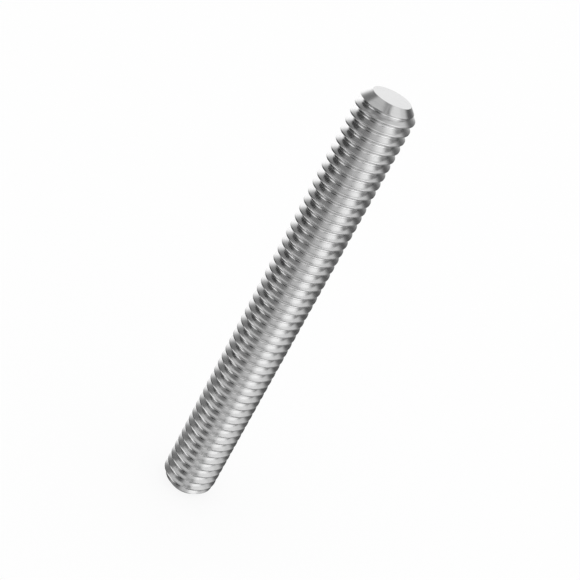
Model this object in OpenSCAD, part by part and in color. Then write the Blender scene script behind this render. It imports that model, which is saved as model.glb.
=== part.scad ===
// Threaded rod: one round steel bar with a single-start metric thread from end to end
// and a turned chamfer at both ends.
// It stands on its lower end face. +Z runs along the rod and the origin is the middle
// of the lower end face. Sizes are in millimetres and angles in degrees.

/* [Rod] */
// Overall length of the rod from end face to end face
rod_length = 50; // [20:0.5:60]
// Outside diameter measured across the thread crests
major_d = 5.92; // [5:0.01:12]

/* [Thread] */
// Distance along the rod from one crest to the next
pitch = 1; // [0.8:0.05:1.25]
// Angle between the two flanks of the groove
flank_angle = 60; // [50:1:70]
// Width of the flat left along the crest, as a share of the pitch
crest_share = 0.125; // [0.08:0.005:0.2]
// Depth of the groove below the crest, as a share of the pitch
depth_share = 0.6134; // [0.45:0.0001:0.65]
// Hand of the thread
hand = 1; // [1:right hand, -1:left hand]
// Angle around the rod at which a crest leaves the lower end face
crest_angle = 0; // [0:1:359]

/* [Ends] */
// Amount the upper chamfer takes off the radius of the rod
top_chamfer = 1; // [0.7:0.01:1.3]
// Amount the lower chamfer takes off the radius of the rod
bottom_chamfer = 1; // [0.7:0.01:1.3]
// Angle between the chamfer surface and the rod's axis
chamfer_angle = 45; // [30:1:60]

/* [Surface] */
// Number of straight steps in one turn of the thread
steps_per_turn = 24; // [12:2:24]

/* [Hidden] */

crest_r = major_d / 2;
root_r = crest_r - depth_share * pitch;
// half width of the ridge between two grooves, at its crest and at its foot
crest_half = crest_share * pitch / 2;
foot_half = crest_half + depth_share * pitch * tan(flank_angle / 2);

// the screw body starts one turn below the rod and ends above it
low_z = -pitch;
turns = ceil(rod_length / pitch) + 2;
steps = turns * steps_per_turn;

function on_rod(r, a, z) = [r * cos(a), r * sin(a), z];

// one station of the ridge: its lower foot, the two edges of its crest, its upper foot
function station(i) =
    let (a = hand * 360 * i / steps_per_turn + crest_angle,
         z = low_z + pitch * i / steps_per_turn)
    [on_rod(root_r, a, z - foot_half),
     on_rod(crest_r, a, z - crest_half),
     on_rod(crest_r, a, z + crest_half),
     on_rod(root_r, a, z + foot_half)];
corners = len(station(0));

// two triangles between corners a and b of one station and c and d of the next
function strip(a, b, c, d) = [[a, b, c], [b, d, c]];

// a left-hand ridge is a mirror image, so its faces are listed the other way round
function facing_out(faces) = hand > 0 ? faces : [for (f = faces) [f[0], f[2], f[1]]];

// solid core with the helical ridge around it, closed by a point on the axis at each end
module screw_body() {
    turn = corners * steps_per_turn;
    last = corners * steps;
    low_mid = last + corners;
    high_mid = low_mid + 1;
    upper_foot = corners - 1;
    points = concat(
        [for (i = [0:steps]) each station(i)],
        [[0, 0, low_z - pitch - foot_half],
         [0, 0, low_z + (turns + 1) * pitch + foot_half]]);
    ridge = [for (b = [0:corners:last - 1], c = [b:b + upper_foot - 1])
        each strip(c, c + 1, c + corners, c + corners + 1)];
    groove = [for (b = [upper_foot:corners:last - turn])
        each strip(b, b + turn - upper_foot, b + corners, b + corners + turn - upper_foot)];
    low_end = concat(
        [for (b = [0:corners:turn - 1]) [low_mid, b, b + corners]],
        [for (c = [0:upper_foot - 1]) [low_mid, c + 1, c]],
        [[low_mid, turn, upper_foot]]);
    high_end = concat(
        [for (b = [last - turn + upper_foot:corners:last - 1]) [high_mid, b + corners, b]],
        [for (c = [last:last + upper_foot - 1]) [high_mid, c, c + 1]],
        [[high_mid, last - turn + upper_foot, last]]);
    polyhedron(points, facing_out(concat(ridge, groove, low_end, high_end)), convexity = 10);
}

// everything that the two flat ends and their chamfers leave: wider than the thread between them
module between_ends() {
    spare = pitch / 2;
    top_run = (top_chamfer + spare) / tan(chamfer_angle);
    bottom_run = (bottom_chamfer + spare) / tan(chamfer_angle);
    rotate_extrude($fn = 96)
        polygon([[0, 0],
                 [crest_r - bottom_chamfer, 0],
                 [crest_r + spare, bottom_run],
                 [crest_r + spare, rod_length - top_run],
                 [crest_r - top_chamfer, rod_length],
                 [0, rod_length]]);
}

module rod() {
    color([0.72, 0.73, 0.74])
        intersection() {
            screw_body();
            between_ends();
        }
}

rod();
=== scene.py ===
import math
from collections import namedtuple

import bmesh
import bpy
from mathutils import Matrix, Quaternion, Vector

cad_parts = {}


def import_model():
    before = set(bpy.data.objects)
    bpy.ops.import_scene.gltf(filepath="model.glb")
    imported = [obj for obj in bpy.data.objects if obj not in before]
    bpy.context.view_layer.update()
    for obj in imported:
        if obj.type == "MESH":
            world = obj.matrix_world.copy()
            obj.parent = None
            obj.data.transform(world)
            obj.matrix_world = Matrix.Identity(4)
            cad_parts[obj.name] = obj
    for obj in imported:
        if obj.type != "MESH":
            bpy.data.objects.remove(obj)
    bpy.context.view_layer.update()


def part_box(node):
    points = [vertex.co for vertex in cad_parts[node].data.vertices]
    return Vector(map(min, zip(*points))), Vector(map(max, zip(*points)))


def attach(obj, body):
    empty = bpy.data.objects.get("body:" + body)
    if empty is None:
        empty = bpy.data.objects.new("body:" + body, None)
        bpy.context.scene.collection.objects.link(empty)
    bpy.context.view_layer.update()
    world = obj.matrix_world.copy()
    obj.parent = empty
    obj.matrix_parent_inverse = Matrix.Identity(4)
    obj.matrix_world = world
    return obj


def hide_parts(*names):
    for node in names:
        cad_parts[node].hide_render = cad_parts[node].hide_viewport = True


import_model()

MM = 0.001

# The rod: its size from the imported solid, its thread from the metric standard
rod_low, rod_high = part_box("rod")
LENGTH = rod_high.z - rod_low.z
CREST_R = (rod_high.x - rod_low.x) / 2
PITCH = 1 * MM
CREST_FLAT = PITCH / 8
FLANK_LEAN = math.radians(30)
ROOT_ROUND = PITCH * math.sqrt(3) / 12
CREST_ROUND = 0.03 * MM
CHAMFER = 1 * MM
END_ROUND = 0.05 * MM

# Fineness of the meshes
TURN_STEPS = 96
ROOT_STEPS = 6
CREST_ROUND_STEPS = 3
END_ROUND_STEPS = 3
LATHE_STEPS = 192
SHARP_ANGLE = math.radians(35)
SLIVER = 0.0005 * MM

# The camera, at the photograph's viewing angle
CAMERA_AIM = Vector((0.01, -0.13, 27.47)) * MM
CAMERA_DISTANCE = 117 * MM
CAMERA_AZIMUTH = math.radians(-90.86)
CAMERA_ELEVATION = math.radians(28.27)
CAMERA_ROLL = math.radians(28.42)
CAMERA_LENS = 72.52

# The studio
FLOOR_HALF = 600 * MM
FLOOR_COLOUR = (0.95, 0.95, 0.95, 1)
FLOOR_GLOW = 0.85


Panel = namedtuple("Panel", "turn height half_width half_height rim level")

# What the steel mirrors: soft panels and dark flags round the rod, each painted over those before it.
# A panel's middle has a turn round the rod (0 towards the camera, 90 to its right) and a height above
# the horizon. It has two half sizes and a soft rim, all in degrees, and a level, where 1 is white.
CAMERA_TURN = 179
STUDIO_LEVEL = 0.3
PANELS = {
    "rear sheet": Panel(150, 60, 60, 30, 10, 0.7),
    "backdrop": Panel(195, 0, 25, 25, 30, 1.2),
    "rear card": Panel(180, 20, 10, 10, 10, 1),
    "left flag": Panel(-110, 0, 20, 50, 20, 0.2),
    "left box": Panel(-60, 20, 25, 15, 10, 1.3),
    "front left flag": Panel(-30, 30, 20, 30, 20, 0),
    "front strip": Panel(10, 10, 20, 40, 30, 0.8),
    "front right flag": Panel(30, 40, 15, 30, 10, 0.1),
    "key box": Panel(55, 0, 25, 20, 30, 1.6),
    "right flag": Panel(135, 10, 15, 30, 20, 0.1),
    "low left flag": Panel(-100, -20, 30, 30, 10, 0.05),
    "high right box": Panel(70, 60, 30, 15, 5, 0.9),
    "high left box": Panel(-60, 60, 45, 15, 5, 0.6),
    "top flag": Panel(10, 70, 10, 10, 10, 0.5),
    "low left box": Panel(-75, -45, 20, 20, 20, 1.2),
}

# The steel: its lightness and roughness from end to end of the noise, and its tool marks
NOISE_RANGE = (0.3, 0.7)
STEEL_GREY = (0.72, 0.82)
STEEL_ROUGHNESS = (0.17, 0.23)
MARK_SPACING = 0.06 * MM
MARK_CHANGES = 0.7
MARK_DEPTH = 0.002 * MM
MARK_STRENGTH = 0.2
MARK_DETAIL = 3
CLOUD_SIZE = 3 * MM
CLOUD_DETAIL = 2


def mesh_object(name, points, faces):
    mesh = bpy.data.meshes.new(name)
    mesh.from_pydata(points, [], faces)
    mesh.validate()
    obj = bpy.data.objects.new(name, mesh)
    bpy.context.scene.collection.objects.link(obj)
    return obj


def arc(centre, radius, start, end, steps):
    """Points along an arc between two angles in degrees."""
    angles = [math.radians(start + (end - start) * i / steps) for i in range(steps + 1)]
    return [(centre[0] + radius * math.cos(a), centre[1] + radius * math.sin(a)) for a in angles]


def thread_profile():
    """Points (radius, height) up one pitch: over the crest at height 0, then through the groove above it."""
    slope = math.tan(FLANK_LEAN)
    sharp_crest = CREST_R + CREST_FLAT / 2 / slope
    round_r = CREST_R - CREST_ROUND
    round_z = (sharp_crest - round_r) * slope - CREST_ROUND / math.cos(FLANK_LEAN)
    upper_edge = arc((round_r, round_z), CREST_ROUND, 0, 60, CREST_ROUND_STEPS)
    lower_edge = [(r, -z) for r, z in reversed(upper_edge)]
    sharp_root = sharp_crest - PITCH / 2 / slope
    root_centre = (sharp_root + ROOT_ROUND / math.sin(FLANK_LEAN), PITCH / 2)
    root = arc(root_centre, ROOT_ROUND, 240, 120, ROOT_STEPS)
    return lower_edge + upper_edge + root


def endless_thread():
    """Core and ridge as one closed body that runs past both ends of the rod."""
    profile = thread_profile()
    corners = len(profile)
    turns = math.ceil(LENGTH / PITCH) + 3
    stations = turns * TURN_STEPS
    points = []
    for i in range(stations + 1):
        angle = 2 * math.pi * i / TURN_STEPS
        middle = PITCH * (i / TURN_STEPS - 1)
        points += [(r * math.cos(angle), r * math.sin(angle), middle + z) for r, z in profile]
    turn = TURN_STEPS * corners
    last = stations * corners
    top = corners - 1
    low_tip = len(points)
    high_tip = low_tip + 1
    points += [(0, 0, -3 * PITCH), (0, 0, turns * PITCH + PITCH)]
    faces = []
    for a in range(0, last, corners):
        faces += [(a + j, a + j + corners, a + j + corners + 1, a + j + 1) for j in range(top)]
    for a in range(0, last - turn, corners):
        faces.append((a + top, a + top + corners, a + turn + corners, a + turn))
    faces += [(low_tip, a + corners, a) for a in range(0, turn, corners)]
    faces += [(low_tip, j, j + 1) for j in range(top)]
    faces.append((low_tip, top, turn))
    faces += [(high_tip, a + top, a + top + corners) for a in range(last - turn, last, corners)]
    faces += [(high_tip, last + j + 1, last + j) for j in range(top)]
    faces.append((high_tip, last, last - turn + top))
    return mesh_object("steel_thread", points, faces)


def between_ends():
    """Everything that the flat ends and their chamfers leave, as one closed turned body."""
    face_r = CREST_R - CHAMFER
    spare = PITCH / 2
    soft = END_ROUND * math.tan(math.radians(22.5))
    lower = arc((face_r - soft, END_ROUND), END_ROUND, -90, -45, END_ROUND_STEPS)
    upper = [(r, LENGTH - z) for r, z in reversed(lower)]
    run = CHAMFER + spare
    outline = lower + [(CREST_R + spare, run), (CREST_R + spare, LENGTH - run)] + upper
    points = []
    for i in range(LATHE_STEPS):
        angle = 2 * math.pi * i / LATHE_STEPS
        points += [(r * math.cos(angle), r * math.sin(angle), z) for r, z in outline]
    corners = len(outline)
    total = len(points)
    faces = []
    for a in range(0, total, corners):
        b = (a + corners) % total
        faces += [(a + j, b + j, b + j + 1, a + j + 1) for j in range(corners - 1)]
    faces.append(list(reversed(range(0, total, corners))))
    faces.append(list(range(corners - 1, total, corners)))
    return mesh_object("ends", points, faces)


def apply_modifiers(obj):
    graph = bpy.context.evaluated_depsgraph_get()
    mesh = bpy.data.meshes.new_from_object(obj.evaluated_get(graph))
    obj.modifiers.clear()
    obj.data = mesh


def clear_slivers(obj):
    """Join corners that the cut left closer together than any real edge."""
    mesh = bmesh.new()
    mesh.from_mesh(obj.data)
    bmesh.ops.remove_doubles(mesh, verts=mesh.verts, dist=SLIVER)
    bmesh.ops.dissolve_degenerate(mesh, dist=SLIVER, edges=mesh.edges)
    mesh.to_mesh(obj.data)
    mesh.free()


def threaded_rod():
    """The endless thread cut to length by the two ends."""
    rod = endless_thread()
    ends = between_ends()
    cut = rod.modifiers.new("cut", "BOOLEAN")
    cut.operation = "INTERSECT"
    cut.solver = "MANIFOLD"
    cut.object = ends
    apply_modifiers(rod)
    bpy.data.objects.remove(ends)
    clear_slivers(rod)
    rod.data.shade_smooth()
    rod.data.set_sharp_from_angle(angle=SHARP_ANGLE)
    even = rod.modifiers.new("even", "WEIGHTED_NORMAL")
    even.keep_sharp = True
    apply_modifiers(rod)
    return rod


def arithmetic(tree, operation, *values):
    """The result of a Math node fed with sockets and plain numbers."""
    node = tree.nodes.new("ShaderNodeMath")
    node.operation = operation
    for socket, value in zip(node.inputs, values):
        if isinstance(value, bpy.types.NodeSocket):
            tree.links.new(value, socket)
        else:
            socket.default_value = value
    return node.outputs[0]


def ramp(tree, value, start, end, low, high, smooth=False):
    """The value carried from start..end to low..high and held there beyond both."""
    node = tree.nodes.new("ShaderNodeMapRange")
    node.interpolation_type = "SMOOTHSTEP" if smooth else "LINEAR"
    tree.links.new(value, node.inputs["Value"])
    for name, number in (("From Min", start), ("From Max", end), ("To Min", low), ("To Max", high)):
        node.inputs[name].default_value = number
    return node.outputs["Result"]


def noise(tree, position, detail):
    node = tree.nodes.new("ShaderNodeTexNoise")
    node.inputs["Scale"].default_value = 1
    node.inputs["Detail"].default_value = detail
    tree.links.new(position, node.inputs["Vector"])
    return node.outputs["Fac"]


def vector(tree, x, y, z):
    """A vector of sockets and plain numbers."""
    node = tree.nodes.new("ShaderNodeCombineXYZ")
    for socket, value in zip(node.inputs, (x, y, z)):
        if isinstance(value, bpy.types.NodeSocket):
            tree.links.new(value, socket)
        else:
            socket.default_value = value
    return node.outputs[0]


def tool_marks(tree, place):
    """Fine marks: along the helix on the thread, round the axis on the turned ends."""
    split = tree.nodes.new("ShaderNodeSeparateXYZ")
    tree.links.new(place, split.inputs[0])
    x, y, z = split.outputs
    x_squared = arithmetic(tree, "MULTIPLY", x, x)
    radius = arithmetic(tree, "SQRT", arithmetic(tree, "MULTIPLY_ADD", y, y, x_squared))
    turned = arithmetic(tree, "DIVIDE", arithmetic(tree, "ARCTAN2", y, x), 2 * math.pi)
    climb = arithmetic(tree, "DIVIDE", z, PITCH)
    groove = arithmetic(tree, "WRAP", arithmetic(tree, "SUBTRACT", climb, turned), 0.5, -0.5)
    across = arithmetic(tree, "MULTIPLY", groove, PITCH / MARK_SPACING)
    depth = arithmetic(tree, "DIVIDE", radius, MARK_SPACING)
    along = arithmetic(tree, "MULTIPLY", climb, MARK_CHANGES)
    rolled = noise(tree, vector(tree, across, depth, along), MARK_DETAIL)
    ring = noise(tree, vector(tree, depth, 0, climb), MARK_DETAIL)
    to_end = arithmetic(tree, "MINIMUM", z, arithmetic(tree, "SUBTRACT", LENGTH, z))
    cone = arithmetic(tree, "SUBTRACT", radius, arithmetic(tree, "ADD", to_end, CREST_R - CHAMFER))
    on_cone = arithmetic(tree, "GREATER_THAN", cone, -END_ROUND / 2)
    on_face = arithmetic(tree, "LESS_THAN", to_end, END_ROUND / 2)
    on_end = arithmetic(tree, "MAXIMUM", on_cone, on_face)
    marks = tree.nodes.new("ShaderNodeMix")
    for value, socket in zip((on_end, rolled, ring), (marks.inputs[0], marks.inputs[2], marks.inputs[3])):
        tree.links.new(value, socket)
    return marks.outputs[0]


def steel():
    """Bright rolled steel."""
    material = bpy.data.materials.new("bright_steel")
    material.use_nodes = True
    tree = material.node_tree
    shader = tree.nodes["Principled BSDF"]
    shader.inputs["Metallic"].default_value = 1
    place = tree.nodes.new("ShaderNodeTexCoord").outputs["Object"]
    marks = tool_marks(tree, place)
    cloud_scale = tree.nodes.new("ShaderNodeVectorMath")
    cloud_scale.operation = "SCALE"
    cloud_scale.inputs["Scale"].default_value = 1 / CLOUD_SIZE
    tree.links.new(place, cloud_scale.inputs[0])
    clouds = noise(tree, cloud_scale.outputs[0], CLOUD_DETAIL)
    tone = arithmetic(tree, "DIVIDE", arithmetic(tree, "ADD", clouds, marks), 2)
    grey = tree.nodes.new("ShaderNodeCombineColor")
    level = ramp(tree, tone, *NOISE_RANGE, *STEEL_GREY)
    for socket in grey.inputs:
        tree.links.new(level, socket)
    tree.links.new(grey.outputs[0], shader.inputs["Base Color"])
    tree.links.new(ramp(tree, clouds, *NOISE_RANGE, *STEEL_ROUGHNESS), shader.inputs["Roughness"])
    bump = tree.nodes.new("ShaderNodeBump")
    bump.inputs["Strength"].default_value = MARK_STRENGTH
    bump.inputs["Distance"].default_value = MARK_DEPTH
    tree.links.new(marks, bump.inputs["Height"])
    tree.links.new(bump.outputs[0], shader.inputs["Normal"])
    return material


def floor():
    h = FLOOR_HALF
    plane = mesh_object("floor", [(-h, -h, 0), (h, -h, 0), (h, h, 0), (-h, h, 0)], [(0, 1, 2, 3)])
    material = bpy.data.materials.new("floor_white")
    material.use_nodes = True
    nodes = material.node_tree.nodes
    links = material.node_tree.links
    nodes.clear()
    output = nodes.new("ShaderNodeOutputMaterial")
    diffuse = nodes.new("ShaderNodeBsdfDiffuse")
    diffuse.inputs["Color"].default_value = FLOOR_COLOUR
    glow = nodes.new("ShaderNodeEmission")
    path = nodes.new("ShaderNodeLightPath")
    share = nodes.new("ShaderNodeMath")
    share.operation = "MULTIPLY"
    share.inputs[1].default_value = FLOOR_GLOW
    mix = nodes.new("ShaderNodeMixShader")
    links.new(path.outputs["Is Camera Ray"], share.inputs[0])
    links.new(share.outputs[0], mix.inputs[0])
    links.new(diffuse.outputs[0], mix.inputs[1])
    links.new(glow.outputs[0], mix.inputs[2])
    links.new(mix.outputs[0], output.inputs[0])
    plane.data.materials.append(material)
    # the steel mirrors the studio below the horizon, not the floor
    plane.visible_glossy = False


def panel_share(tree, turn, height, panel):
    """How much of a panel lies in a direction: 1 inside it, 0 outside, with a soft rim between."""
    off_turn = arithmetic(tree, "SUBTRACT", turn, panel.turn)
    off_turn = arithmetic(tree, "ABSOLUTE", arithmetic(tree, "WRAP", off_turn, 180, -180))
    off_height = arithmetic(tree, "ABSOLUTE", arithmetic(tree, "SUBTRACT", height, panel.height))
    half = panel.rim / 2
    across = ramp(tree, off_turn, panel.half_width - half, panel.half_width + half, 1, 0, True)
    up = ramp(tree, off_height, panel.half_height - half, panel.half_height + half, 1, 0, True)
    return arithmetic(tree, "MULTIPLY", across, up)


def mirrored_studio(tree):
    """The level of the studio in the direction that a ray leaves the steel."""
    split = tree.nodes.new("ShaderNodeSeparateXYZ")
    tree.links.new(tree.nodes.new("ShaderNodeTexCoord").outputs["Generated"], split.inputs[0])
    x, y, z = split.outputs
    to_degrees = math.degrees(1)
    turn = arithmetic(tree, "MULTIPLY", arithmetic(tree, "ARCTAN2", y, x), to_degrees)
    turn = arithmetic(tree, "SUBTRACT", turn, CAMERA_TURN)
    height = arithmetic(tree, "MULTIPLY", arithmetic(tree, "ARCSINE", z), to_degrees)
    level = STUDIO_LEVEL
    for panel in PANELS.values():
        share = panel_share(tree, turn, height, panel)
        rest = arithmetic(tree, "MULTIPLY", arithmetic(tree, "SUBTRACT", 1, share), level)
        level = arithmetic(tree, "MULTIPLY_ADD", share, panel.level, rest)
    return level


def world():
    """White for the camera and for the light on the floor, the studio for what mirrors it."""
    studio = bpy.data.worlds.new("studio")
    studio.use_nodes = True
    studio.cycles.sampling_method = "NONE"
    tree = studio.node_tree
    background = tree.nodes["Background"]
    mirrors = tree.nodes.new("ShaderNodeLightPath").outputs["Is Glossy Ray"]
    darker = arithmetic(tree, "SUBTRACT", mirrored_studio(tree), 1)
    tree.links.new(arithmetic(tree, "MULTIPLY_ADD", mirrors, darker, 1), background.inputs["Strength"])
    background.inputs["Color"].default_value = (1, 1, 1, 1)
    bpy.context.scene.world = studio


def camera():
    data = bpy.data.cameras.new("camera")
    data.lens = CAMERA_LENS
    data.clip_start = 1 * MM
    view = bpy.data.objects.new("camera", data)
    bpy.context.scene.collection.objects.link(view)
    level = math.cos(CAMERA_ELEVATION)
    back = Vector((
        math.sin(CAMERA_AZIMUTH) * level,
        -math.cos(CAMERA_AZIMUTH) * level,
        math.sin(CAMERA_ELEVATION),
    ))
    view.location = CAMERA_AIM + back * CAMERA_DISTANCE
    view.rotation_mode = "QUATERNION"
    view.rotation_quaternion = (-back).to_track_quat("-Z", "Y") @ Quaternion((0, 0, 1), CAMERA_ROLL)
    bpy.context.scene.camera = view


bpy.context.scene.view_settings.view_transform = "Standard"
camera()
world()
floor()

rod = threaded_rod()
rod.data.materials.clear()
rod.data.materials.append(steel())
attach(rod, "root")
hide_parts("rod")
